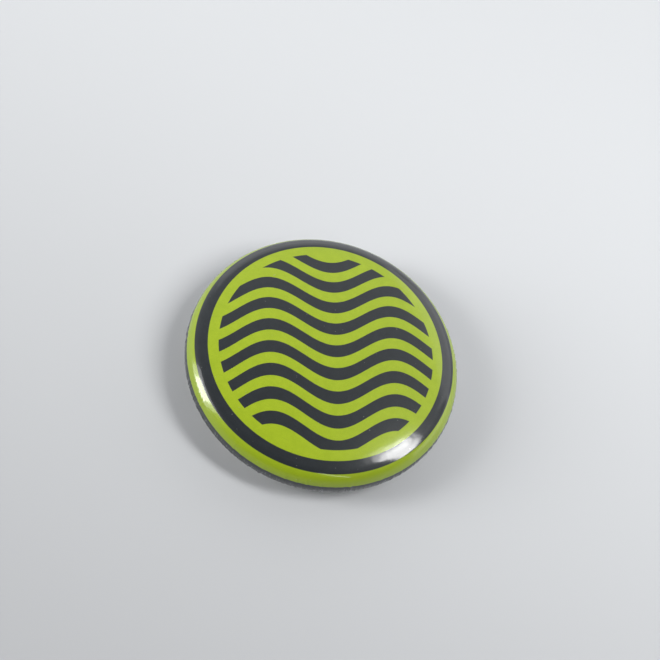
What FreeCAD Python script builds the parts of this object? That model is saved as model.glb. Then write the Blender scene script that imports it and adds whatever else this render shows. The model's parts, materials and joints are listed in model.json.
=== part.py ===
"""Pin-back button badge, 25.4 mm, lying face up on the rim of its collet.

Origin: centre of the rim plane.  +Z points out of the printed face, and the pin lies along X with
its tip towards -X.  Every sheet-metal and film layer is one outline revolved about Z.
"""
import FreeCAD, Part
import math
import os
import re
import Sketcher

# Driving dimensions, in millimetres and degrees: alias, value, note.
DIMENSIONS = [
    ("badge_radius", 12.70, "outside of the film at the side wall"),
    ("badge_height", 5.20, "rim plane to the top of the dome"),
    ("dome_radius", 55.0, "outside of the domed face"),
    ("shoulder_radius", 1.80, "outside of the bend between face and side wall"),
    ("film_thickness", 0.06, "clear film"),
    ("paper_thickness", 0.12, "printed paper"),
    ("shell_thickness", 0.25, "tinplate shell"),
    ("curl_radius", 0.56, "outside of the crimped edge"),
    ("curl_height", 2.12, "centre of the crimped edge above the rim plane"),
    ("skin_curl_angle", 150.0, "how far film and paper follow the crimp"),
    ("shell_curl_angle", 180.0, "how far the shell is crimped"),
    ("opening_radius", 9.90, "opening in the collet"),
    ("collet_radius", 11.55, "outside of the collet's wall"),
    ("collet_thickness", 0.28, "tinplate collet"),
    ("corner_radius", 0.50, "outside of the collet's rolled corner"),
    ("flange_radius", 12.22, "edge of the collet's flange, inside the crimp"),
    ("flange_height", 2.13, "underside of the flange, on the crimped edge"),
    ("flange_bend", 0.15, "inside of the bend between wall and flange"),
    ("wire_radius", 0.40, "spring pin wire"),
    ("ring_radius", 10.05, "centre line of the wire ring"),
    ("ring_height", 0.69, "centre line of the ring, just under the rim"),
    ("free_end_angle", 4.0, "where the wire ring is cut off"),
    ("catch_radius", 7.40, "centre of the catch's bend, from the axis"),
    ("catch_angle", 189.3, "centre of the catch's bend, round the axis"),
    ("catch_bend", 0.70, "centre line of the catch's bend"),
    ("catch_fillet", 0.80, "centre line of the bends where the catch leaves the ring"),
    ("catch_leg_in", 20.0, "direction of the leg that runs in"),
    ("catch_leg_out", 248.0, "direction of the leg that runs out"),
    ("root_bend", 1.20, "centre line of the bend from ring to pin"),
    ("root_gap", 0.03, "gap between the ring and the bend"),
    ("knuckle_gap", 0.02, "gap round the pin's ball end"),
    ("knuckle_open", 0.32, "how far the bend stops short of the ball's centre"),
    ("pin_length", 16.0, "ball centre to tip"),
    ("pin_drop", 0.78, "how much lower the tip lies than the ring"),
    ("taper_length", 2.0, "ground point"),
    ("tip_radius", 0.05, "rounding of the point"),
]
SIZE = {alias: value for alias, value, note in DIMENSIONS}
RIGHT_ANGLE = math.pi / 2


def make_sheet(doc):
    sheet = doc.addObject("Spreadsheet::Sheet", "Sizes")
    for row, (alias, value, note) in enumerate(DIMENSIONS, start=1):
        sheet.set(f"A{row}", alias)
        sheet.set(f"B{row}", str(value))
        sheet.set(f"C{row}", note)
        sheet.setAlias(f"B{row}", alias)
    doc.recompute()


def sized(text):
    """Expression on the sheet's cells: every known alias in text gets the sheet's name."""
    return re.sub(r"[a-z_]+", lambda word: ("Sizes." if word[0] in SIZE else "") + word[0], text)


class Outline:
    """A chain of lines and arcs in a sketch, each edge starting where the last one ended."""

    def __init__(self, body, name, plane):
        self.sketch = body.newObject("Sketcher::SketchObject", name)
        roles = {feature.Role: feature for feature in body.Origin.OriginFeatures}
        self.sketch.AttachmentSupport = [(roles[plane], "")]
        self.sketch.MapMode = "FlatFace"
        self.ends = []

    def constrain(self, *arguments):
        return self.sketch.addConstraint(Sketcher.Constraint(*arguments))

    def dimension(self, name, expression, *arguments):
        """A named driving constraint whose value comes from the sheet."""
        index = self.constrain(*arguments)
        self.sketch.renameConstraint(index, name)
        self.sketch.setExpression(f"Constraints.{name}", sized(expression))

    def line(self, start, end):
        first, last = FreeCAD.Vector(*start, 0), FreeCAD.Vector(*end, 0)
        edge = self.sketch.addGeometry(Part.LineSegment(first, last), False)
        self.ends.append((edge, 1, 2))
        return edge

    def arc(self, centre, radius, start, end):
        """Arc from angle start to angle end, counter-clockwise where end is the larger."""
        circle = Part.Circle(FreeCAD.Vector(*centre, 0), FreeCAD.Vector(0, 0, 1), radius)
        low, high = min(start, end), max(start, end)
        edge = self.sketch.addGeometry(Part.ArcOfCircle(circle, low, high), False)
        self.ends.append((edge, 1, 2) if start < end else (edge, 2, 1))
        return edge

    def join(self, smooth, closed=True):
        """Join each edge's end to the next one's start; smooth lists the tangent joints."""
        followers = self.ends[1:] + (self.ends[:1] if closed else [])
        for joint, ((edge, _, tail), (other, head, _)) in enumerate(zip(self.ends, followers)):
            kind = "Tangent" if joint in smooth else "Coincident"
            self.constrain(kind, edge, tail, other, head)


def polar(centre, radius, angle):
    return (centre[0] + radius * math.cos(angle), centre[1] + radius * math.sin(angle))


def place(body, base, axis, angle_text):
    """Stand a body at base, turned about a main axis by an angle that the sheet's cells give."""
    directions = {"Y": FreeCAD.Vector(0, 1, 0), "Z": FreeCAD.Vector(0, 0, 1)}
    body.Placement = FreeCAD.Placement(base, FreeCAD.Rotation(directions[axis], 1))
    body.setExpression("Placement.Rotation.Angle", sized(angle_text))
    body.setExpression("Placement.Base.z", sized("ring_height"))


def revolve(body, outline, axis, angle="360"):
    turned = body.newObject("PartDesign::Revolution", "Turned")
    turned.Profile = outline.sketch
    turned.ReferenceAxis = (outline.sketch, [axis])
    turned.setExpression("Angle", sized(angle))
    outline.sketch.Visibility = False
    return turned


def make_skin(doc, label, depth, depth_text, thickness, curl_angle):
    """One layer of the domed front, from the axis to the end of its crimped edge.

    depth is how far its outside lies under the film's outside, and depth_text says the same on
    the sheet's cells; thickness and curl_angle are aliases.
    """
    body = doc.addObject("PartDesign::Body", label)
    body.Label = label
    outline = Outline(body, "Section", "XZ_Plane")
    curl_end = -math.radians(SIZE[curl_angle])
    dome = (0, SIZE["badge_height"] - SIZE["dome_radius"])
    shoulder_x = SIZE["badge_radius"] - SIZE["shoulder_radius"]
    reach = SIZE["dome_radius"] - SIZE["shoulder_radius"]
    shoulder = (shoulder_x, dome[1] + math.sqrt(reach ** 2 - shoulder_x ** 2))
    meet = math.acos(shoulder_x / reach)
    curl = (SIZE["badge_radius"] - SIZE["curl_radius"], SIZE["curl_height"])

    def side(under):
        """Dome, shoulder, wall and crimp as radii and corner points, this far under the film."""
        radii = [SIZE[name] - under for name in ("dome_radius", "shoulder_radius", "curl_radius")]
        wall_top = (shoulder[0] + radii[1], shoulder[1])
        wall_foot = (curl[0] + radii[2], curl[1])
        return radii, wall_top, wall_foot

    outer, outer_top, outer_foot = side(depth)
    inner, inner_top, inner_foot = side(depth + SIZE[thickness])
    dome_out = outline.arc(dome, outer[0], RIGHT_ANGLE, meet)
    shoulder_out = outline.arc(shoulder, outer[1], meet, 0)
    wall_out = outline.line(outer_top, outer_foot)
    curl_out = outline.arc(curl, outer[2], 0, curl_end)
    cut = outline.line(polar(curl, outer[2], curl_end), polar(curl, inner[2], curl_end))
    curl_in = outline.arc(curl, inner[2], curl_end, 0)
    wall_in = outline.line(inner_foot, inner_top)
    shoulder_in = outline.arc(shoulder, inner[1], 0, meet)
    dome_in = outline.arc(dome, inner[0], meet, RIGHT_ANGLE)
    axis = outline.line((0, dome[1] + inner[0]), (0, dome[1] + outer[0]))
    outline.join(smooth={0, 1, 2, 5, 6, 7})
    for edge in (wall_out, wall_in):
        outline.constrain("Vertical", edge)
    outline.constrain("PointOnObject", dome_out, 3, -2)
    outline.constrain("PointOnObject", axis, 1, -2)
    outline.constrain("PointOnObject", axis, 2, -2)
    for first, second in ((dome_out, dome_in), (shoulder_out, shoulder_in), (curl_out, curl_in)):
        outline.constrain("Coincident", first, 3, second, 3)
    outline.constrain("PointOnObject", curl_out, 3, cut)
    outline.dimension("Dome", f"dome_radius - {depth_text}", "Radius", dome_out, outer[0])
    outline.dimension("Shoulder", f"shoulder_radius - {depth_text}", "Radius", shoulder_out, outer[1])
    outline.dimension("Curl", f"curl_radius - {depth_text}", "Radius", curl_out, outer[2])
    outline.dimension("Sheet", thickness, "Distance", axis, SIZE[thickness])
    outline.dimension("DomeCentre", "dome_radius - badge_height", "DistanceY", dome_out, 3, -1, 1,
                      -dome[1])
    outline.dimension("CurlX", "badge_radius - curl_radius", "DistanceX", -1, 1, curl_out, 3, curl[0])
    outline.dimension("CurlY", "curl_height", "DistanceY", -1, 1, curl_out, 3, curl[1])
    outline.dimension("CurlEnd", f"(180 - {curl_angle}) * 1deg", "Angle", cut, math.pi + curl_end)
    revolve(body, outline, "V_Axis")
    return body


def make_collet(doc):
    """The pressed ring: flat rim, rolled corner, short wall and the flange that is crimped in."""
    body = doc.addObject("PartDesign::Body", "collet")
    body.Label = "collet"
    outline = Outline(body, "Section", "XZ_Plane")
    sheet = SIZE["collet_thickness"]
    lip = sheet / 2
    wall, corner, bend = SIZE["collet_radius"], SIZE["corner_radius"], SIZE["flange_bend"]
    flange, edge_x = SIZE["flange_height"], SIZE["flange_radius"]
    lip_centre = (SIZE["opening_radius"] + lip, lip)
    corner_centre = (wall - corner, corner)
    bend_centre = (wall + bend, flange - bend)
    rim_out = outline.line((lip_centre[0], 0), (corner_centre[0], 0))
    corner_out = outline.arc(corner_centre, corner, -RIGHT_ANGLE, 0)
    wall_out = outline.line((wall, corner), (wall, bend_centre[1]))
    bend_out = outline.arc(bend_centre, bend, math.pi, RIGHT_ANGLE)
    flange_out = outline.line((bend_centre[0], flange), (edge_x, flange))
    edge = outline.line((edge_x, flange), (edge_x, flange + sheet))
    flange_in = outline.line((edge_x, flange + sheet), (bend_centre[0], flange + sheet))
    bend_in = outline.arc(bend_centre, bend + sheet, RIGHT_ANGLE, math.pi)
    wall_in = outline.line((wall - sheet, bend_centre[1]), (wall - sheet, corner))
    corner_in = outline.arc(corner_centre, corner - sheet, 0, -RIGHT_ANGLE)
    rim_in = outline.line((corner_centre[0], sheet), (lip_centre[0], sheet))
    lip_arc = outline.arc(lip_centre, lip, RIGHT_ANGLE, math.pi + RIGHT_ANGLE)
    outline.join(smooth={0, 1, 2, 3, 6, 7, 8, 9, 10, 11})
    for level in (rim_out, flange_out, flange_in):
        outline.constrain("Horizontal", level)
    for upright in (wall_out, edge):
        outline.constrain("Vertical", upright)
    outline.constrain("PointOnObject", rim_out, 1, -1)
    outline.constrain("Coincident", corner_out, 3, corner_in, 3)
    outline.constrain("Coincident", bend_out, 3, bend_in, 3)
    outline.dimension("Corner", "corner_radius", "Radius", corner_out, corner)
    outline.dimension("Bend", "flange_bend", "Radius", bend_out, bend)
    outline.dimension("Sheet", "collet_thickness", "DistanceY", edge, 1, edge, 2, sheet)
    outline.dimension("Lip", "collet_thickness / 2", "Radius", lip_arc, lip)
    outline.dimension("CornerIn", "corner_radius - collet_thickness", "Radius", corner_in,
                      corner - sheet)
    outline.dimension("Opening", "opening_radius + collet_thickness / 2", "DistanceX", -1, 1,
                      lip_arc, 3, lip_centre[0])
    outline.dimension("Wall", "collet_radius", "DistanceX", -1, 1, wall_out, 1, wall)
    outline.dimension("FlangeEdge", "flange_radius", "DistanceX", -1, 1, edge, 1, edge_x)
    outline.dimension("FlangeHeight", "flange_height", "DistanceY", -1, 1, edge, 1, flange)
    revolve(body, outline, "V_Axis")
    return body


def root_angle():
    """How far below the X axis, round the ring, the bend to the pin begins."""
    return math.asin(SIZE["root_bend"] / (SIZE["ring_radius"] - SIZE["root_bend"]))


def bend_centre():
    """Centre of the bend from ring to pin, which ends on the X axis."""
    inset = SIZE["ring_radius"] - SIZE["root_bend"]
    return FreeCAD.Vector(inset * math.cos(root_angle()), -SIZE["root_bend"], SIZE["ring_height"])


def wire_section(body, across):
    """The wire's round section, centred on the sketch's horizontal axis."""
    outline = Outline(body, "WireSection", "XZ_Plane")
    circle = Part.Circle(FreeCAD.Vector(SIZE[across], 0, 0), FreeCAD.Vector(0, 0, 1),
                         SIZE["wire_radius"])
    edge = outline.sketch.addGeometry(circle, False)
    outline.constrain("PointOnObject", edge, 3, -1)
    outline.dimension("Wire", "wire_radius", "Radius", edge, SIZE["wire_radius"])
    outline.dimension("Across", across, "DistanceX", -1, 1, edge, 3, SIZE[across])
    return outline


def catch_fillet_centre(touch, heading):
    """Centre of the bend between the ring and a straight leg, to the leg's left.

    touch is a point on the leg's centre line and heading its direction; the bend is tangent to
    the leg and, from inside, to the ring, on the ring's side of touch.
    """
    fillet, along = SIZE["catch_fillet"], (math.cos(heading), math.sin(heading))
    start = (touch[0] - fillet * along[1], touch[1] + fillet * along[0])
    slope = start[0] * along[0] + start[1] * along[1]
    span = (SIZE["ring_radius"] - fillet) ** 2 - start[0] ** 2 - start[1] ** 2
    root = math.sqrt(slope ** 2 + span)
    travel = min(-slope - root, -slope + root, key=abs)
    return (start[0] + travel * along[0], start[1] + travel * along[1])


def make_spring_ring(doc):
    """The wire ring with its catch; its sketches start at the ring's cut-off end."""
    body = doc.addObject("PartDesign::Body", "spring_ring")
    body.Label = "spring_ring"
    turn = math.radians(SIZE["free_end_angle"])
    ring, bend, fillet = SIZE["ring_radius"], SIZE["catch_bend"], SIZE["catch_fillet"]
    centre = polar((0, 0), SIZE["catch_radius"], math.radians(SIZE["catch_angle"]) - turn)
    leg_in = math.radians(SIZE["catch_leg_in"]) - turn
    leg_out = math.radians(SIZE["catch_leg_out"]) - turn
    apex_start = polar(centre, bend, leg_in + RIGHT_ANGLE)
    apex_end = polar(centre, bend, leg_out + RIGHT_ANGLE)
    fillet_in = catch_fillet_centre(apex_start, leg_in)
    fillet_out = catch_fillet_centre(apex_end, leg_out)
    leave = math.atan2(fillet_in[1], fillet_in[0]) % (2 * math.pi)
    rejoin = math.atan2(fillet_out[1], fillet_out[0]) % (2 * math.pi)
    finish = 2 * math.pi - root_angle() - turn

    path = Outline(body, "WirePath", "XY_Plane")
    ring_first = path.arc((0, 0), ring, 0, leave)
    into_catch = path.arc(fillet_in, fillet, leave, leg_in + 3 * RIGHT_ANGLE)
    inward = path.line(polar(fillet_in, fillet, leg_in - RIGHT_ANGLE), apex_start)
    apex = path.arc(centre, bend, leg_in + RIGHT_ANGLE, leg_out - 3 * RIGHT_ANGLE)
    outward = path.line(apex_end, polar(fillet_out, fillet, leg_out - RIGHT_ANGLE))
    out_of_catch = path.arc(fillet_out, fillet, leg_out - RIGHT_ANGLE, rejoin)
    ring_last = path.arc((0, 0), ring, rejoin, finish)
    path.join(smooth={0, 1, 2, 3, 4, 5}, closed=False)
    for name, edge in (("RingFirst", ring_first), ("RingLast", ring_last)):
        path.constrain("Coincident", edge, 3, -1, 1)
        path.dimension(name, "ring_radius", "Radius", edge, ring)
    for name, edge in (("IntoCatch", into_catch), ("OutOfCatch", out_of_catch)):
        path.dimension(name, "catch_fillet", "Radius", edge, fillet)
    path.dimension("CatchBend", "catch_bend", "Radius", apex, bend)
    path.constrain("PointOnObject", ring_first, 1, -1)
    local_angle = "((catch_angle - free_end_angle) * 1deg)"
    path.dimension("CatchX", f"-1 * catch_radius * cos{local_angle}", "DistanceX", apex, 3, -1, 1,
                   -centre[0])
    path.dimension("CatchY", f"-1 * catch_radius * sin{local_angle}", "DistanceY", apex, 3, -1, 1,
                   -centre[1])
    path.dimension("LegIn", "(catch_leg_in - free_end_angle) * 1deg", "Angle", inward, leg_in)
    path.dimension("LegOut", "(catch_leg_out - free_end_angle) * 1deg", "Angle", outward, leg_out)

    pipe = body.newObject("PartDesign::AdditivePipe", "Wire")
    pipe.Profile = wire_section(body, "ring_radius").sketch
    pipe.Spine = (path.sketch, [])
    place(body, FreeCAD.Vector(0, 0, SIZE["ring_height"]), "Z", "free_end_angle")
    return body


def make_pin_bend(doc):
    """The short bend between ring and pin, with a cup for the pin's ball end."""
    body = doc.addObject("PartDesign::Body", "pin_bend")
    body.Label = "pin_bend"
    root_text = "asin(root_bend / (ring_radius - root_bend))"
    gap_text = "root_gap / root_bend * 1rad"
    short_text = "asin(knuckle_open / root_bend)"
    revolve(body, wire_section(body, "root_bend"), "V_Axis",
            f"90deg + {root_text} - {gap_text} - {short_text}")
    doc.recompute()
    cup = body.newObject("PartDesign::SubtractiveSphere", "Cup")
    cup.setExpression("Radius", sized("wire_radius + knuckle_gap"))
    ball_angle = f"(90deg + {root_text} - {gap_text})"
    cup.setExpression("Placement.Base.x", sized(f"root_bend * cos{ball_angle}"))
    cup.setExpression("Placement.Base.y", sized(f"root_bend * sin{ball_angle}"))
    place(body, bend_centre(), "Z", f"{gap_text} - {root_text}")
    return body


def make_pin_arm(doc):
    """The straight pin, from its ball end to the ground point."""
    body = doc.addObject("PartDesign::Body", "pin_arm")
    body.Label = "pin_arm"
    wire, length, tip = SIZE["wire_radius"], SIZE["pin_length"], SIZE["tip_radius"]
    taper = length - SIZE["taper_length"]
    outline = Outline(body, "Section", "XZ_Plane")
    ball = outline.arc((0, 0), wire, 0, RIGHT_ANGLE)
    shank = outline.line((0, wire), (-taper, wire))
    outline.line((-taper, wire), (tip - length, tip))
    tip_arc = outline.arc((tip - length, 0), tip, RIGHT_ANGLE, math.pi)
    axis = outline.line((-length, 0), (wire, 0))
    outline.join(smooth={0})
    outline.constrain("Horizontal", shank)
    outline.constrain("Coincident", ball, 3, -1, 1)
    outline.constrain("PointOnObject", tip_arc, 3, -1)
    outline.constrain("PointOnObject", axis, 1, -1)
    outline.constrain("PointOnObject", axis, 2, -1)
    outline.dimension("Wire", "wire_radius", "Radius", ball, wire)
    outline.dimension("Tip", "tip_radius", "Radius", tip_arc, tip)
    outline.dimension("Length", "pin_length", "DistanceX", axis, 1, -1, 1, length)
    outline.dimension("Shank", "pin_length - taper_length", "DistanceX", shank, 2, -1, 1, taper)
    revolve(body, outline, "H_Axis")
    centre = bend_centre()
    place(body, FreeCAD.Vector(centre.x, 0, centre.z), "Y", "asin(pin_drop / pin_length)")
    return body


def check(doc, bodies):
    """Stop on any object that failed, and on any sub-part that is not a valid solid."""
    for item in doc.Objects:
        if {"Invalid", "Error"} & set(item.State):
            raise RuntimeError(f"{item.Name} failed: {item.State}")
    for body in bodies:
        shape = body.Shape
        if shape.isNull() or not shape.isValid() or len(shape.Solids) != 1:
            raise RuntimeError(f"{body.Label} is not one valid solid")


def main():
    doc = FreeCAD.newDocument("ButtonBadge")
    make_sheet(doc)
    film, paper = SIZE["film_thickness"], SIZE["paper_thickness"]
    bodies = [
        make_skin(doc, "clear_film", 0, "0", "film_thickness", "skin_curl_angle"),
        make_skin(doc, "printed_paper", film, "film_thickness", "paper_thickness",
                  "skin_curl_angle"),
        make_skin(doc, "shell", film + paper, "(film_thickness + paper_thickness)",
                  "shell_thickness", "shell_curl_angle"),
        make_collet(doc),
        make_spring_ring(doc),
        make_pin_bend(doc),
        make_pin_arm(doc),
    ]
    doc.recompute()
    check(doc, bodies)
    os.makedirs("parts", exist_ok=True)
    for body in bodies:
        body.Shape.exportStep(f"parts/{body.Label}.step")
        print(f"{body.Label}: {body.Shape.Volume:.4f} mm3")


main()
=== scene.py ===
"""Pin-back button badge, lying face up on a pale floor.

A printed disc under clear film is crimped over a tinplate shell and collet, and a sprung wire pin
sits in the collet.  Lengths are in millimetres until a mesh is made, and the frame is the CAD's.
"""
import json
import math
import random

import bpy
import numpy as np
from mathutils import Matrix, Vector

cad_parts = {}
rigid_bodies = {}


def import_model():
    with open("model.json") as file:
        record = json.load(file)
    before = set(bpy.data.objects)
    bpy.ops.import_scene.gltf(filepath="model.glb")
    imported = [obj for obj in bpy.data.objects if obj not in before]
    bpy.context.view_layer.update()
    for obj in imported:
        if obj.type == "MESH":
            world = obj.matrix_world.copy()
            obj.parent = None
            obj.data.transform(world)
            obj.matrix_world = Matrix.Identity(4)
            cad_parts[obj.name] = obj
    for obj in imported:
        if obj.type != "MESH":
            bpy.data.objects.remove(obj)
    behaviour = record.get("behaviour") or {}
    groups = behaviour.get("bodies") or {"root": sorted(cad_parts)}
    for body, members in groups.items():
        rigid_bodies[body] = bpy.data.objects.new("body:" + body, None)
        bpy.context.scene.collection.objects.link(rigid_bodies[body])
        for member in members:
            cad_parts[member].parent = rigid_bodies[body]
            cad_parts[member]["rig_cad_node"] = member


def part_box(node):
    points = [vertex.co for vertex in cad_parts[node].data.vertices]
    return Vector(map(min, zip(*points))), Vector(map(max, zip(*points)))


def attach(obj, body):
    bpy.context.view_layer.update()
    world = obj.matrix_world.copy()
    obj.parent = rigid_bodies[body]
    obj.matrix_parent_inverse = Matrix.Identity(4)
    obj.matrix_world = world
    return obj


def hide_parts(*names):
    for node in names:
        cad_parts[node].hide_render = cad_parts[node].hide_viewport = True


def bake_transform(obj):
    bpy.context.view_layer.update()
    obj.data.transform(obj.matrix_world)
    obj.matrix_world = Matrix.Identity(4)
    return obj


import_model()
for spare in [thing for thing in bpy.data.objects
              if "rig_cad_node" not in thing and thing.type != "EMPTY"]:
    bpy.data.objects.remove(spare)
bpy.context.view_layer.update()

MM = 0.001
TURN = 2 * math.pi
RIGHT_ANGLE = math.pi / 2


def box_mm(node):
    low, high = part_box(node)
    return low / MM, high / MM


# Sizes that the frame gives.
film_low, film_high = box_mm("clear_film")
_, shell_high = box_mm("shell")
_, collet_high = box_mm("collet")
ring_low, ring_high = box_mm("spring_ring")
BADGE_RADIUS = film_high.x
BADGE_TOP = film_high.z
SKIN_DEPTH = film_high.z - shell_high.z
WIRE_RADIUS = (ring_high.z - ring_low.z) / 2
RING_HEIGHT = (ring_high.z + ring_low.z) / 2
RING_RADIUS = ring_high.y - WIRE_RADIUS
FLANGE_RADIUS = collet_high.x

# Sizes of the bends and the pin, as in the CAD model.
DOME_RADIUS = 55.0
SHOULDER_RADIUS = 1.80
CURL_RADIUS = 0.56
CURL_HEIGHT = film_low.z + CURL_RADIUS
SKIN_CURL_END = math.radians(150)
SHELL_THICKNESS = 0.25
SHELL_CURL_END = math.radians(178)
COLLET_THICKNESS = 0.28
OPENING_RADIUS = 9.90
COLLET_RADIUS = 11.55
COLLET_CORNER = 0.50
FLANGE_BEND = 0.15
FREE_END_ANGLE = math.radians(4.0)
ROOT_BEND = 1.20
CATCH_CENTRE = (7.40, math.radians(189.3))
CATCH_BEND = 0.70
CATCH_FILLET = 0.80
CATCH_LEG_IN = math.radians(20.0)
CATCH_LEG_OUT = math.radians(248.0)
PIN_LENGTH = 16.0
PIN_DROP = 0.78
TAPER_LENGTH = 2.6
TAPER_SHAPE = 0.85
TIP_RADIUS = 0.03

# Sizes that only the visual model has.
SKIN_CLEARANCE = 0.004  # between paper and shell
ROOT_GAP = 0.045        # between ring and bend, which leaves room for the sideways turn
GRIND_MARGIN = 0.6      # from the start of the ground metal to the start of the taper

# How finely the meshes are cut: rows and points along each arc, and mm between a wire's rings.
DOME_ROWS = 11
SHOULDER_ROWS = 18
WALL_ROWS = 5
CURL_ROWS = 17
INSIDE_FINENESS = 0.4
CORNER_ROWS = 18
INNER_CORNER_ROWS = 8
FLANGE_BEND_ROWS = 10
LIP_ROWS = 14
RIM_ROWS = 8
FACE_TURNS = 1440
METAL_TURNS = 720
RING_POINTS = 400
BEND_POINTS = 60
ROOT_POINTS = 160
PIN_POINTS = 150
RING_SPACING = 0.12
PIN_SPACING = 0.10


def polar(centre, radius, angle):
    return (centre[0] + radius * math.cos(angle), centre[1] + radius * math.sin(angle))


def arc(centre, radius, start, end, count):
    """Points along an arc, both ends included."""
    return [polar(centre, radius, angle) for angle in np.linspace(start, end, count)]


def without_repeats(points):
    kept = [points[0]]
    for point in points[1:]:
        if math.dist(point, kept[-1]) > 1e-4:
            kept.append(point)
    return kept


# ---------------------------------------------------------------- meshes

def mesh_object(name, vertices, faces, smooth=True):
    mesh = bpy.data.meshes.new(name)
    mesh.from_pydata([tuple(vertex) for vertex in vertices], [], faces)
    mesh.validate()
    mesh.update()
    if smooth:
        mesh.polygons.foreach_set("use_smooth", [True] * len(mesh.polygons))
    thing = bpy.data.objects.new(name, mesh)
    bpy.context.scene.collection.objects.link(thing)
    return thing


def section_normals(section):
    """Unit normals of a (radius, height) chain, to its left when it runs outwards."""
    step = np.gradient(section, axis=0)
    step /= np.hypot(step[:, 0], step[:, 1])[:, None]
    return np.stack([-step[:, 1], step[:, 0]], axis=1)


def lathe(name, section, turns, relief=None):
    """Turns section, (radius, height) points in mm, about Z.

    The section starts and ends on the axis, or closes on itself.  relief is an array of mm along
    the normal, one row per point and one column per angle.
    """
    section = np.array(section, float)
    angles = np.arange(turns) * TURN / turns
    offset = np.zeros((len(section), turns)) if relief is None else relief
    normals = section_normals(section)
    radius = section[:, :1] + offset * normals[:, :1]
    height = section[:, 1:] + offset * normals[:, 1:]
    grid = np.stack([radius * np.cos(angles), radius * np.sin(angles),
                     np.broadcast_to(height, radius.shape)], axis=2) * MM
    on_axis = section[0, 0] < 1e-6
    rings = list(range(1, len(section) - 1)) if on_axis else list(range(len(section)))
    vertices = np.concatenate([grid[ring] for ring in rings])
    faces = []
    columns = np.arange(turns)
    following = (columns + 1) % turns
    pairs = list(zip(range(len(rings) - 1), range(1, len(rings))))
    if not on_axis:
        pairs.append((len(rings) - 1, 0))
    for first, second in pairs:
        a, b = first * turns, second * turns
        faces += np.stack([a + columns, b + columns, b + following, a + following], 1).tolist()
    if on_axis:
        poles = np.array([[0, 0, section[0, 1]], [0, 0, section[-1, 1]]]) * MM
        top, bottom = len(vertices), len(vertices) + 1
        last = (len(rings) - 1) * turns
        faces += [[top, column, after] for column, after in zip(columns.tolist(), following.tolist())]
        faces += [[bottom, last + after, last + column]
                  for column, after in zip(columns.tolist(), following.tolist())]
        vertices = np.concatenate([vertices, poles])
    return mesh_object(name, vertices, faces)


def travelled(path):
    """The distance along path from its start to each of its points."""
    return np.concatenate([[0], np.cumsum(np.linalg.norm(np.diff(path, axis=0), axis=1))])


def tube(name, path, radii, sides=32):
    """A round wire along path, in mm, with its ends closed.

    Two attributes go with it: along, the distance from the start in mm, and around, 0 to 1.
    """
    path = np.array(path, float)
    tangents = np.gradient(path, axis=0, edge_order=2)
    tangents /= np.linalg.norm(tangents, axis=1)[:, None]
    side = np.cross(tangents[0], (0, 0, 1.0))
    side /= np.linalg.norm(side)
    angles = np.arange(sides) * TURN / sides
    rings, lengths = [], travelled(path)
    for point, tangent, radius in zip(path, tangents, radii):
        side = side - tangent * side.dot(tangent)
        side /= np.linalg.norm(side)
        other = np.cross(tangent, side)
        spokes = np.outer(np.cos(angles), side) + np.outer(np.sin(angles), other)
        rings.append(point + radius * spokes)
    vertices = np.concatenate(rings + [path[:1], path[-1:]]) * MM
    count = len(path)
    faces = []
    for ring in range(count - 1):
        a, b = ring * sides, (ring + 1) * sides
        faces += [[a + k, a + (k + 1) % sides, b + (k + 1) % sides, b + k] for k in range(sides)]
    start, end, last = count * sides, count * sides + 1, (count - 1) * sides
    faces += [[start, (k + 1) % sides, k] for k in range(sides)]
    faces += [[end, last + k, last + (k + 1) % sides] for k in range(sides)]
    thing = mesh_object(name, vertices, faces)
    along = np.concatenate([np.repeat(lengths, sides), [0, lengths[-1]]])
    around = np.concatenate([np.tile(angles / TURN, count), [0, 0]])
    for label, values in (("along", along), ("around", around)):
        attribute = thing.data.attributes.new(label, "FLOAT", "POINT")
        attribute.data.foreach_set("value", values.astype(np.float32))
    return thing


# ---------------------------------------------------------------- sections

def front_section(depth, curl_end, fineness=1.0):
    """Dome, shoulder, wall and crimp this far under the film's outside, from the axis outwards."""
    dome = (0, BADGE_TOP - DOME_RADIUS)
    shoulder_x = BADGE_RADIUS - SHOULDER_RADIUS
    reach = DOME_RADIUS - SHOULDER_RADIUS
    shoulder = (shoulder_x, dome[1] + math.sqrt(reach ** 2 - shoulder_x ** 2))
    meet = math.acos(shoulder_x / reach)
    curl = (BADGE_RADIUS - CURL_RADIUS, CURL_HEIGHT)
    wall_x = BADGE_RADIUS - depth
    points = arc(dome, DOME_RADIUS - depth, RIGHT_ANGLE, meet, int(DOME_ROWS * fineness))
    points += arc(shoulder, SHOULDER_RADIUS - depth, meet, 0, int(SHOULDER_ROWS * fineness))
    wall = np.linspace(shoulder[1], curl[1], int(WALL_ROWS * fineness))
    points += [(wall_x, height) for height in wall]
    points += arc(curl, CURL_RADIUS - depth, 0, -curl_end, int(CURL_ROWS * fineness))
    return without_repeats(points)


def layer_section(outside, thickness, curl_end):
    """Closed section of one layer of the front, axis to axis."""
    return (front_section(outside, curl_end)
            + front_section(outside + thickness, curl_end, fineness=INSIDE_FINENESS)[::-1])


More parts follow.
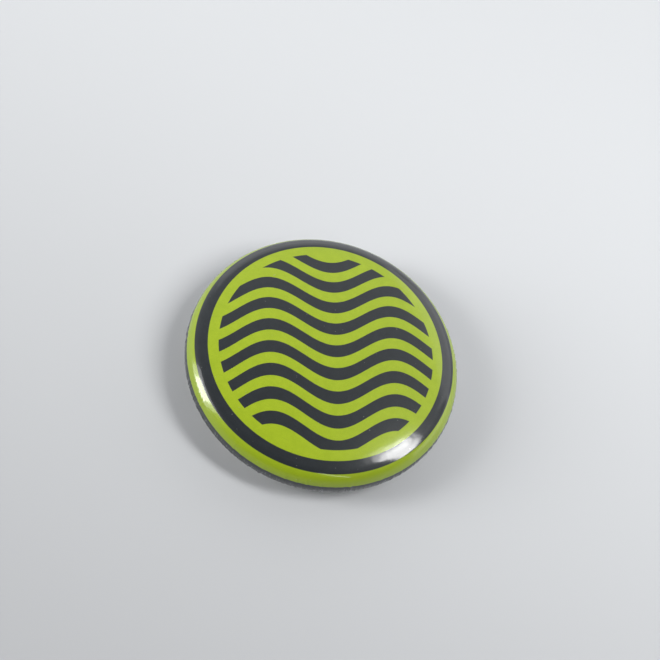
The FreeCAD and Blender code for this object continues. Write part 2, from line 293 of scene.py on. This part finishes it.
def collet_section():
    """The collet's closed outline, anticlockwise from its rim's inner edge."""
    lip = COLLET_THICKNESS / 2
    inner_corner = COLLET_CORNER - COLLET_THICKNESS
    corner = (COLLET_RADIUS - COLLET_CORNER, COLLET_CORNER)
    flange = collet_high.z - COLLET_THICKNESS
    bend = (COLLET_RADIUS + FLANGE_BEND, flange - FLANGE_BEND)
    outside = arc(corner, COLLET_CORNER, -RIGHT_ANGLE, 0, CORNER_ROWS)
    outside += arc(bend, FLANGE_BEND, math.pi, RIGHT_ANGLE, INNER_CORNER_ROWS)
    inside = arc(bend, FLANGE_BEND + COLLET_THICKNESS, RIGHT_ANGLE, math.pi, FLANGE_BEND_ROWS)
    inside += arc(corner, inner_corner, 0, -RIGHT_ANGLE, INNER_CORNER_ROWS)
    edge = [(FLANGE_RADIUS, flange), (FLANGE_RADIUS, flange + COLLET_THICKNESS)]
    rolled = arc((OPENING_RADIUS + lip, lip), lip, RIGHT_ANGLE, 3 * RIGHT_ANGLE, LIP_ROWS)
    rim = [(radius, 0.0) for radius in np.linspace(OPENING_RADIUS + lip, corner[0], RIM_ROWS)]
    return without_repeats(rim + outside + edge + inside + rolled)[:-1]


# ---------------------------------------------------------------- pleats

PLEAT_SEED = 11
PLEAT_COUNT = 190
PLEAT_REACH = 1.0            # mm inwards from the outside
PLEAT_ROWS_TURNED_UNDER = 7
PLEAT_WIDTH = (0.35, 0.80)   # degrees
PLEAT_RISE = (0.006, 0.024)  # mm
PLEAT_SLANT = 1.2            # degrees
PLEAT_TOP = (0.10, 0.45)     # share of the way down, where each begins
PLEAT_FOOT = 1.02            # share of the way down, where all end
GROOVE_BESIDE = 1.7          # in ridge widths
GROOVE_DEPTH = 0.6           # in ridge heights


def pleat_relief(section, turns):
    """Outward mm of the wrinkles that the crimp leaves in paper and film.

    They start on the shoulder, are fullest on the wall and die out where the crimp turns under.
    """
    rng = random.Random(PLEAT_SEED)
    angles = np.arange(turns) * TURN / turns
    section = np.array(section)
    lowest = np.argmax(section[:, 1] == section[:, 1].min())
    outside = np.arange(len(section)) < lowest + PLEAT_ROWS_TURNED_UNDER
    rows = [row for row in np.flatnonzero(outside) if section[row, 0] > BADGE_RADIUS - PLEAT_REACH]
    share = travelled(section[rows]) / travelled(section[rows])[-1]
    relief = np.zeros((len(section), turns))
    for _ in range(PLEAT_COUNT):
        centre = rng.uniform(0, TURN)
        width = math.radians(rng.uniform(*PLEAT_WIDTH))
        rise = rng.uniform(*PLEAT_RISE)
        slant = math.radians(rng.gauss(0, PLEAT_SLANT))
        top = rng.uniform(*PLEAT_TOP)
        for row, far in zip(rows, share):
            down = min(1.0, max(0.0, (far - top) / (PLEAT_FOOT - top)))
            fade = math.sin(math.pi * down ** 0.8)
            if fade <= 0.0:
                continue
            apart = (angles - centre - slant * far + math.pi) % TURN - math.pi
            ridge = np.exp(-(apart / width) ** 2)
            groove = np.exp(-((apart - GROOVE_BESIDE * width) / width) ** 2)
            relief[row] += rise * fade * (ridge - GROOVE_DEPTH * groove)
    return relief


# ---------------------------------------------------------------- materials

class Shader:
    """A material with one Principled surface, and short calls for the nodes used here."""

    def __init__(self, name, **surface):
        self.material = bpy.data.materials.new(name)
        self.material.use_nodes = True
        self.nodes, self.links = self.material.node_tree.nodes, self.material.node_tree.links
        self.surface = self.nodes["Principled BSDF"]
        for socket, value in surface.items():
            self.surface.inputs[socket.replace("_", " ")].default_value = value

    def add(self, kind, inputs=(), output=0, **settings):
        node = self.nodes.new(kind)
        for setting, value in settings.items():
            setattr(node, setting, value)
        for socket, value in dict(inputs).items():
            self.put(value, node.inputs[socket])
        return node.outputs[output]

    def put(self, value, socket):
        if isinstance(value, bpy.types.NodeSocket):
            self.links.new(value, socket)
        else:
            socket.default_value = value

    def into(self, socket, value):
        self.put(value, self.surface.inputs[socket])

    def math(self, operation, *values, clamp=False):
        return self.add("ShaderNodeMath", dict(enumerate(values)), operation=operation, use_clamp=clamp)

    def point(self, scale=1 / MM):
        """The place on the piece in mm, or in mm times another scale."""
        place = self.add("ShaderNodeTexCoord", output="Object")
        return self.add("ShaderNodeVectorMath", {0: place, 1: (scale,) * 3}, operation="MULTIPLY")

    def attribute(self, name):
        return self.add("ShaderNodeAttribute", output="Fac", attribute_name=name)

    def vector(self, *parts):
        return self.add("ShaderNodeCombineXYZ", dict(enumerate(parts)))

    def split(self, vector):
        node = self.nodes.new("ShaderNodeSeparateXYZ")
        self.links.new(vector, node.inputs[0])
        return node.outputs

    def noise(self, vector, scale, detail=2.0, roughness=0.5):
        return self.add("ShaderNodeTexNoise", {"Vector": vector, "Scale": scale, "Detail": detail,
                                               "Roughness": roughness})

    def ramp(self, value, low, high, to_low=0.0, to_high=1.0):
        """value's range low to high becomes to_low to to_high, smoothly, and no more."""
        return self.add("ShaderNodeMapRange", {"Value": value, "From Min": low, "From Max": high,
                                               "To Min": to_low, "To Max": to_high},
                        interpolation_type="SMOOTHSTEP")

    def mix(self, factor, first, second):
        return self.add("ShaderNodeMix", {0: factor, 6: first, 7: second}, output=2, data_type="RGBA")

    def bump(self, height, distance, strength=1.0, normal=None):
        inputs = {"Height": height, "Distance": distance * MM, "Strength": strength}
        if normal is not None:
            inputs["Normal"] = normal
        return self.add("ShaderNodeBump", inputs)


def srgb(red, green, blue):
    """A colour on a 0 to 255 display scale, as the shader wants it."""
    def linear(value):
        value /= 255
        return value / 12.92 if value <= 0.04045 else ((value + 0.055) / 1.055) ** 2.4
    return (linear(red), linear(green), linear(blue), 1.0)


# The print: a panel of wavy stripes, a dark ring round it and a border that ends on the wall.
LIME = srgb(165, 186, 29)
LIME_DEEP = srgb(150, 173, 20)
# Painted shade: the lime where the shoulder turns down and away from the light.
LIME_PAINTED_SHADE = srgb(139, 161, 22)
CHARCOAL = srgb(39, 44, 47)
CHARCOAL_DEEP = srgb(31, 35, 38)

STRIPE_PERIOD = 2.26
STRIPE_TILT = math.radians(24)
WAVE_LENGTH = 11.6
WAVE_HEIGHT = 1.25
WAVE_SHIFT = 1.3
STRIPE_SHIFT = 1.6
DARK_SHARE = 0.53
PANEL_RADIUS = 9.92
RING_INSIDE = 10.86
RING_OUTSIDE = 12.00
LIME_FOOT = 2.87
INK_EDGE = 0.035
PRINT_CENTRE = (-0.10, 0.20, 0.0)


def artwork(shader, place):
    """1 where the print is lime, and the distance from the print's centre."""
    printed = shader.add("ShaderNodeVectorMath", {0: place, 1: PRINT_CENTRE}, operation="SUBTRACT")
    x, y, height = shader.split(shader.add(
        "ShaderNodeVectorRotate", {"Vector": printed, "Angle": -STRIPE_TILT}, rotation_type="Z_AXIS"))
    radius = shader.add("ShaderNodeVectorMath", {0: shader.vector(x, y, 0.0)}, output="Value",
                        operation="LENGTH")
    phase = shader.math("MULTIPLY_ADD", x, TURN / WAVE_LENGTH, WAVE_SHIFT)
    wave = shader.math("MULTIPLY_ADD", shader.math("SINE", phase), WAVE_HEIGHT,
                       shader.math("ADD", y, STRIPE_SHIFT))
    cycle = shader.math("PINGPONG", wave, STRIPE_PERIOD / 2)
    edge = STRIPE_PERIOD / 2 * DARK_SHARE

    def beyond(value, place, low=0.0, high=1.0):
        return shader.ramp(value, place - INK_EDGE, place + INK_EDGE, low, high)

    lime = shader.math("MAXIMUM", beyond(cycle, edge), beyond(radius, PANEL_RADIUS))
    dark_ring = shader.math("MULTIPLY", beyond(radius, RING_INSIDE),
                            beyond(radius, RING_OUTSIDE, 1.0, 0.0))
    lime = shader.math("SUBTRACT", lime, dark_ring, clamp=True)
    return shader.math("MULTIPLY", lime, beyond(height, LIME_FOOT)), radius


def print_material():
    """Ink on paper seen through clear film, which is the glossy coat."""
    shader = Shader("print_under_film", Roughness=0.46, Coat_Weight=1.0, Coat_Roughness=0.11,
                    Coat_IOR=1.55, Specular_IOR_Level=0.2)
    place = shader.point()
    x, y, height = shader.split(place)
    lime, radius = artwork(shader, place)
    ink = shader.noise(place, 1.3, 4.0, 0.65)
    grain = shader.noise(place, 14.0, 3.0, 0.7)
    mottle = shader.ramp(shader.math("MULTIPLY_ADD", grain, 0.6, shader.math("MULTIPLY", ink, 0.4)),
                         0.32, 0.68)
    light_ink = shader.mix(mottle, LIME_DEEP, LIME)
    # Painted shade: the lime is darker where the shoulder turns down, away from the light.
    light_ink = shader.mix(shader.ramp(height, 4.4, 3.0), light_ink, LIME_PAINTED_SHADE)
    dark_ink = shader.mix(mottle, CHARCOAL_DEEP, CHARCOAL)
    colour = shader.mix(lime, dark_ink, light_ink)
    # On the wrapped wall, pale upright streaks are painted into the colour: partly the film's whitening
    # where it is creased, partly painted highlights along the pleats.
    outwards = shader.add("ShaderNodeVectorMath", {0: shader.vector(x, y, 0.0)}, operation="NORMALIZE")
    upright = shader.add("ShaderNodeVectorMath", {0: outwards, 1: (62.0,) * 3,
                                                  2: shader.vector(0.0, 0.0, height)},
                         operation="MULTIPLY_ADD")
    streaks = shader.noise(upright, 1.0, 3.0, 0.65)
    on_wall = shader.ramp(height, LIME_FOOT - 0.1, LIME_FOOT - 0.5)
    # Painted highlights and whitening: the share of pale streak colour on the wall.
    tone_shift = shader.math("MULTIPLY", shader.ramp(streaks, 0.52, 0.74, 0.0, 0.42), on_wall)
    colour = shader.mix(tone_shift, colour, srgb(158, 160, 166))
    # A little dust.
    specks = shader.ramp(shader.noise(place, 3.7, 1.0, 0.4), 0.785, 0.80, 0.0, 0.30)
    shader.into("Base Color", shader.mix(specks, colour, srgb(150, 150, 146)))
    shader.into("Roughness", shader.ramp(grain, 0.3, 0.7, 0.40, 0.54))
    # The film is not quite flat: long soft waves, and a faint fine texture.
    waves = shader.noise(place, 0.42, 2.0, 0.5)
    near_edge = shader.ramp(radius, 9.0, 11.4, 0.6, 1.7)
    texture = shader.noise(place, 9.0, 2.0, 0.5)
    film = shader.bump(shader.math("MULTIPLY", waves, near_edge), 0.020, 0.8)
    film = shader.bump(texture, 0.0006, 0.8, film)
    film = shader.bump(shader.math("MULTIPLY", streaks, on_wall), 0.012, 0.8, film)
    shader.into("Coat Normal", film)
    shader.into("Normal", shader.bump(grain, 0.002, 0.6))
    return shader.material


def tinplate_material(name, colour, roughness, matt_within=0.0, tone_shift=0.12):
    """Bright tinplate with rolling lines and faint spangle, duller within a radius, in mm."""
    shader = Shader(name, Metallic=1.0, Roughness=roughness)
    place = shader.point()
    stretch = (0.35, 9.0, 9.0)
    lines = shader.noise(shader.add("ShaderNodeVectorMath", {0: place, 1: stretch},
                                    operation="MULTIPLY"), 1.0, 4.0, 0.6)
    cloud = shader.noise(place, 0.5, 3.0, 0.55)
    fleck = shader.noise(place, 5.5, 3.0, 0.6)
    shade = shader.math("MULTIPLY_ADD", lines, 0.35, shader.math("MULTIPLY", cloud, 0.65))
    dark = tuple(channel * (1 - tone_shift * 1.6) for channel in colour[:3]) + (1.0,)
    shader.into("Base Color", shader.mix(shader.ramp(shade, 0.35, 0.62), dark, colour))
    rough = shader.math("MULTIPLY_ADD", lines, 0.16, shader.math("MULTIPLY", fleck, 0.10))
    radius = shader.add("ShaderNodeVectorMath", {0: shader.add(
        "ShaderNodeVectorMath", {0: place, 1: (1.0, 1.0, 0.0)}, operation="MULTIPLY")},
                        output="Value", operation="LENGTH")
    matt = shader.ramp(radius, matt_within, matt_within + 0.12, 0.13, 0.0)
    shader.into("Roughness", shader.math("ADD", rough, shader.math("ADD", matt, roughness - 0.10)))
    normal = shader.bump(lines, 0.0016, 0.8)
    shader.into("Normal", shader.bump(cloud, 0.010, 0.5, normal))
    return shader.material


def wire_material(name, tip_from=None):
    """Copper-washed drawn steel; tip_from is where along it the ground steel point begins."""
    shader = Shader(name, Metallic=1.0, Roughness=0.22)
    along, around = shader.attribute("along"), shader.attribute("around")
    turn = shader.math("MULTIPLY", around, TURN)
    drawn = shader.vector(shader.math("MULTIPLY", along, 0.25),
                          shader.math("MULTIPLY", shader.math("SINE", turn), 5.0),
                          shader.math("MULTIPLY", shader.math("COSINE", turn), 5.0))
    lines = shader.noise(drawn, 1.6, 3.0, 0.6)
    patches = shader.noise(shader.point(), 1.1, 3.0, 0.6)
    copper = shader.mix(shader.ramp(patches, 0.35, 0.68), srgb(184, 120, 94), srgb(230, 170, 142))
    colour = shader.mix(shader.ramp(lines, 0.55, 0.75, 0.0, 0.55), copper, srgb(150, 92, 70))
    rough = shader.math("MULTIPLY_ADD", lines, 0.22, 0.12)
    height = lines
    if tip_from is not None:
        ragged = shader.math("MULTIPLY_ADD", shader.noise(drawn, 2.4, 3.0), 0.9, along)
        ground = shader.ramp(ragged, tip_from + 0.35, tip_from + 0.60)
        rings = shader.math("SINE", shader.math("MULTIPLY", along, 90.0))
        colour = shader.mix(ground, colour, srgb(206, 206, 204))
        height = shader.math("MULTIPLY_ADD", shader.math("MULTIPLY", rings, ground), 0.12, lines)
    shader.into("Base Color", colour)
    shader.into("Roughness", rough)
    shader.into("Normal", shader.bump(height, 0.0022, 0.7))
    return shader.material


def floor_material():
    """A pale matt board with a faint tooth, and painted light falloff across it."""
    shader = Shader("pale_board", Roughness=0.9, Specular_IOR_Level=0.05)
    place = shader.point()
    tooth = shader.noise(place, 4.0, 3.0, 0.6)
    x, y, _ = shader.split(place)
    # Painted light falloff: the board is darker towards the near side and lighter towards the far side,
    # standing in for the fall of the light across it.
    away = shader.math("MULTIPLY_ADD", x, 0.05, y)
    shader.into("Base Color", shader.mix(shader.ramp(away, -75.0, 45.0), srgb(169, 170, 172),
                                         srgb(221, 223, 225)))
    shader.into("Normal", shader.bump(tooth, 0.01, 0.15))
    return shader.material


# ---------------------------------------------------------------- pieces

def finish_piece(thing, body, slot, material, *nodes):
    thing.data.materials.append(material)
    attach(thing, body)
    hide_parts(*nodes)
    return thing


def make_printed_face():
    section = layer_section(0.0, SKIN_DEPTH - SKIN_CLEARANCE, SKIN_CURL_END)
    thing = lathe("printed_face", section, FACE_TURNS, pleat_relief(section, FACE_TURNS))
    return finish_piece(thing, "badge", "print", print_material(), "clear_film", "printed_paper")


def make_shell():
    section = layer_section(SKIN_DEPTH, SHELL_THICKNESS, SHELL_CURL_END)
    thing = lathe("tinplate_shell", section, METAL_TURNS)
    steel = tinplate_material("shell_inside", srgb(202, 204, 194), 0.14)
    return finish_piece(thing, "badge", "tinplate", steel, "shell")


def make_collet():
    thing = lathe("tinplate_collet", collet_section(), METAL_TURNS)
    steel = tinplate_material("collet_tinplate", srgb(206, 208, 197), 0.24,
                              COLLET_RADIUS - COLLET_CORNER)
    return finish_piece(thing, "badge", "tinplate", steel, "collet")


def ring_path():
    """The wire ring's centre line from its cut end, round by the catch, to the bend."""
    def fillet_centre(touch, heading):
        ahead = Vector((math.cos(heading), math.sin(heading)))
        start = Vector(touch) + CATCH_FILLET * Vector((-ahead.y, ahead.x))
        slope = start.dot(ahead)
        root = math.sqrt(slope ** 2 + (RING_RADIUS - CATCH_FILLET) ** 2 - start.length_squared)
        return start + min(-slope - root, -slope + root, key=abs) * ahead

    centre = polar((0, 0), *CATCH_CENTRE)
    touch_in = polar(centre, CATCH_BEND, CATCH_LEG_IN + RIGHT_ANGLE)
    touch_out = polar(centre, CATCH_BEND, CATCH_LEG_OUT + RIGHT_ANGLE)
    into, out = fillet_centre(touch_in, CATCH_LEG_IN), fillet_centre(touch_out, CATCH_LEG_OUT)
    leave = math.atan2(into.y, into.x) % TURN
    rejoin = math.atan2(out.y, out.x) % TURN
    points = arc((0, 0), RING_RADIUS, FREE_END_ANGLE, leave, RING_POINTS)
    points += arc(into, CATCH_FILLET, leave, CATCH_LEG_IN + 3 * RIGHT_ANGLE, BEND_POINTS)
    points += arc(centre, CATCH_BEND, CATCH_LEG_IN + RIGHT_ANGLE, CATCH_LEG_OUT - 3 * RIGHT_ANGLE,
                  BEND_POINTS)
    points += arc(out, CATCH_FILLET, CATCH_LEG_OUT - RIGHT_ANGLE, rejoin, BEND_POINTS)
    points += arc((0, 0), RING_RADIUS, rejoin, TURN - root_angle(), RING_POINTS)
    return [(x, y, RING_HEIGHT) for x, y in without_repeats(points)]


def root_angle():
    """The angle, clockwise round the ring from the X axis, at which the bend to the pin begins."""
    return math.asin(ROOT_BEND / (RING_RADIUS - ROOT_BEND))


def evenly(path, spacing):
    """The same line with points this far apart."""
    path = np.array(path)
    reached = travelled(path)
    stations = np.linspace(0, reached[-1], int(reached[-1] / spacing) + 2)
    return np.stack([np.interp(stations, reached, path[:, axis]) for axis in range(3)], axis=1)


def make_spring_ring():
    path = evenly(ring_path(), RING_SPACING)
    thing = tube("spring_ring_wire", path, [WIRE_RADIUS] * len(path))
    return finish_piece(thing, "badge", "copper_wire", wire_material("ring_wire"), "spring_ring")


def make_pin():
    """Bend and pin as one wire."""
    inset = RING_RADIUS - ROOT_BEND
    centre = (inset * math.cos(root_angle()), -ROOT_BEND)
    start = ROOT_GAP / ROOT_BEND - root_angle()
    bend = [(x, y, RING_HEIGHT) for x, y in arc(centre, ROOT_BEND, start, RIGHT_ANGLE, ROOT_POINTS)]
    slope = math.asin(PIN_DROP / PIN_LENGTH)
    pin = [(centre[0] - far * math.cos(slope), 0.0, RING_HEIGHT + far * math.sin(slope))
           for far in np.linspace(0, PIN_LENGTH, PIN_POINTS)[1:]]
    path = evenly(bend + pin, PIN_SPACING)
    lengths = travelled(path)
    left = lengths[-1] - lengths
    radii = np.maximum(WIRE_RADIUS * np.clip(left / TAPER_LENGTH, 0, 1) ** TAPER_SHAPE, TIP_RADIUS)
    thing = tube("pin_wire", path, radii)
    ground_from = lengths[-1] - TAPER_LENGTH - GRIND_MARGIN
    thing.data.materials.append(wire_material("pin_wire_metal", ground_from))
    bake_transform(thing)
    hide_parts("pin_bend", "pin_arm")
    return thing


# ---------------------------------------------------------------- stage, light and camera

CEILING_NEAR = (0.06, 0.062, 0.065, 1)
CEILING_FAR = (0.56, 0.57, 0.59, 1)
HORIZON_NEAR = (0.40, 0.41, 0.42, 1)
HORIZON_FAR = (0.77, 0.78, 0.80, 1)
VIEW_TILT = math.radians(29.2)
VIEW_ROLL = math.radians(24.9)
VIEW_DISTANCE = 141.6
LENS = 84.6
OFF_CENTRE = (-5.65, -27.95)
FRAME_PIXELS = 660
TARGET_HEIGHT = 3.0
SENSOR_WIDTH = 36
LIGHT_DISTANCE = 0.5
FAR_SIDE = (-0.2, 0.98, 0)
FLOOR_REACH = 0.4
FLOOR_DROP = 0.00001


def make_camera():
    """Looks at the face from VIEW_TILT off its normal, rolled so that it leans up and right."""
    back = Vector((0, -math.sin(VIEW_TILT), math.cos(VIEW_TILT)))
    level_up = Vector((0, math.cos(VIEW_TILT), math.sin(VIEW_TILT)))
    level_right = Vector((1, 0, 0))
    right = math.cos(VIEW_ROLL) * level_right + math.sin(VIEW_ROLL) * level_up
    up = -math.sin(VIEW_ROLL) * level_right + math.cos(VIEW_ROLL) * level_up
    target = Vector((0, 0, TARGET_HEIGHT))
    eye = target + VIEW_DISTANCE * back
    focal = FRAME_PIXELS * LENS / SENSOR_WIDTH
    aim = target - (OFF_CENTRE[0] * right + OFF_CENTRE[1] * up) * VIEW_DISTANCE / focal
    back = (eye - aim).normalized()
    right = up.cross(back).normalized()
    up = back.cross(right)
    data = bpy.data.cameras.new("camera")
    data.lens = LENS
    data.sensor_width = SENSOR_WIDTH
    data.clip_start, data.clip_end = 0.005, 20
    camera = bpy.data.objects.new("camera", data)
    turned = Matrix((right, up, back)).transposed().to_4x4()
    camera.matrix_world = Matrix.Translation(eye * MM) @ turned
    bpy.context.scene.collection.objects.link(camera)
    bpy.context.scene.camera = camera


def make_light(name, azimuth, elevation, lean, width, height, radiance):
    """A soft rectangular panel in this direction from the badge, facing it.

    Angles are in degrees and sizes in metres.  lean tips its upper end round towards a greater
    azimuth.
    """
    azimuth, elevation, lean = (math.radians(angle) for angle in (azimuth, elevation, lean))
    data = bpy.data.lights.new(name, "AREA")
    data.shape = "RECTANGLE"
    data.size, data.size_y = width, height
    data.energy = radiance * math.pi * width * height
    light = bpy.data.objects.new(name, data)
    level = math.cos(elevation)
    away = Vector((level * math.cos(azimuth), level * math.sin(azimuth), math.sin(elevation)))
    onwards = Vector((-math.sin(azimuth), math.cos(azimuth), 0))
    up = math.cos(lean) * away.cross(onwards) + math.sin(lean) * onwards
    turned = Matrix((up.cross(away), up, away)).transposed().to_4x4()
    light.matrix_world = Matrix.Translation(away * LIGHT_DISTANCE) @ turned
    bpy.context.scene.collection.objects.link(light)


def make_world():
    """A pale room with a pale horizon, whose ceiling is brighter on the far side of the badge."""
    world = bpy.data.worlds.new("pale_room")
    bpy.context.scene.world = world
    world.use_nodes = True
    nodes, links = world.node_tree.nodes, world.node_tree.links
    place = nodes.new("ShaderNodeTexCoord").outputs["Generated"]

    def along(direction, low, high):
        """0 to 1 as the look turns from low to high along a direction."""
        towards = nodes.new("ShaderNodeVectorMath")
        towards.operation = "DOT_PRODUCT"
        towards.inputs[1].default_value = direction
        share = nodes.new("ShaderNodeMapRange")
        share.interpolation_type = "SMOOTHSTEP"
        share.inputs["From Min"].default_value, share.inputs["From Max"].default_value = low, high
        links.new(place, towards.inputs[0])
        links.new(towards.outputs["Value"], share.inputs["Value"])
        return share.outputs[0]

    def blend(share, first, second):
        mix = nodes.new("ShaderNodeMix")
        mix.data_type = "RGBA"
        links.new(share, mix.inputs[0])
        for value, socket in ((first, mix.inputs[6]), (second, mix.inputs[7])):
            if isinstance(value, tuple):
                socket.default_value = value
            else:
                links.new(value, socket)
        return mix.outputs[2]

    ceiling = blend(along(FAR_SIDE, -0.15, 0.90), CEILING_NEAR, CEILING_FAR)
    horizon = blend(along(FAR_SIDE, -0.9, 0.6), HORIZON_NEAR, HORIZON_FAR)
    room = blend(along((0, 0, 1), 0.05, 0.40), horizon, ceiling)
    links.new(room, nodes["Background"].inputs["Color"])
    nodes["Background"].inputs["Strength"].default_value = 1.0


def make_stage():
    corners = [(x * FLOOR_REACH, y * FLOOR_REACH, 0.0)
               for x, y in ((-1, -1), (1, -1), (1, 1), (-1, 1))]
    floor = mesh_object("floor", corners, [[0, 1, 2, 3]], smooth=False)
    floor.location.z = -FLOOR_DROP
    floor.data.materials.append(floor_material())
    make_world()
    make_light("window_left", 201, 24, 0, 0.26, 0.40, 3.4)
    make_light("window_left_core", 202, 21.5, 0, 0.13, 0.28, 11.0)
    make_light("window_right", 13, 50.5, 31, 0.098, 0.28, 17.0)
    make_light("window_right_edge", 30, 64, -27, 0.030, 0.09, 9.0)
    make_light("low_strip", 314, 43, -27, 0.022, 0.22, 5.0)
    make_light("wall_right", 60, 28.5, 25, 0.35, 0.27, 0.9)
    make_light("wall_right_low", 18, 12, 0, 0.34, 0.18, 0.9)
    make_light("wall_far", 112, 18, 0, 0.52, 0.26, 0.5)


make_camera()
make_printed_face()
make_shell()
make_collet()
make_spring_ring()
make_pin()
make_stage()
bpy.context.scene.view_settings.view_transform = "Standard"
